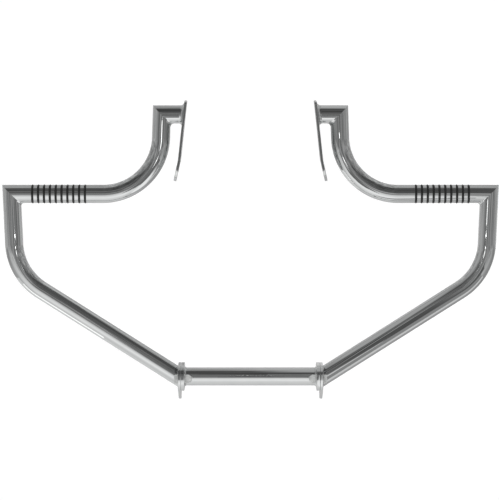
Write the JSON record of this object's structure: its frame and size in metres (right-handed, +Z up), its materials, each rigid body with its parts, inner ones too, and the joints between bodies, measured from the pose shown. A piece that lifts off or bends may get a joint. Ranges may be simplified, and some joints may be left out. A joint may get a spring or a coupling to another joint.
{
  "type": "motorcycle crash bars",
  "caption": "Chromed tubular crash bar for the front of a motorcycle, with a bolted crossbar, side loops with rubber-ringed grips and flat upper frame brackets.",
  "frame": {"origin": "halfway between the two lower mounting holes, on their common axis", "axes": "+X across the bike to the right of the picture, +Y to the rear of the bike, +Z up"},
  "size_m": [0.867, 0.0848, 0.5286],
  "materials": {
    "bar_chrome": "mirror polished chrome plating",
    "plated_hardware": "bright plated steel",
    "ring_rubber": "matte black"
  },
  "bodies": {
    "root": {"bracket_welds": "bar_chrome", "crossbar_flange_welds": "bar_chrome", "crossbar_tube": "bar_chrome", "flange_bolts": "plated_hardware", "flange_nuts": "plated_hardware", "flange_washers": "plated_hardware", "grip_rings": "ring_rubber", "left_crossbar_flange": "bar_chrome", "left_frame_bracket": "bar_chrome", "left_grip_tube": "bar_chrome", "left_lower_tube": "bar_chrome", "left_outer_corner_weld": "bar_chrome", "left_side_flange": "bar_chrome", "left_upper_corner_weld": "bar_chrome", "left_upper_stub": "bar_chrome", "right_crossbar_flange": "bar_chrome", "right_frame_bracket": "bar_chrome", "right_grip_tube": "bar_chrome", "right_lower_tube": "bar_chrome", "right_outer_corner_weld": "bar_chrome", "right_side_flange": "bar_chrome", "right_upper_corner_weld": "bar_chrome", "right_upper_stub": "bar_chrome", "side_flange_welds": "bar_chrome"}
  },
  "joints": []
}
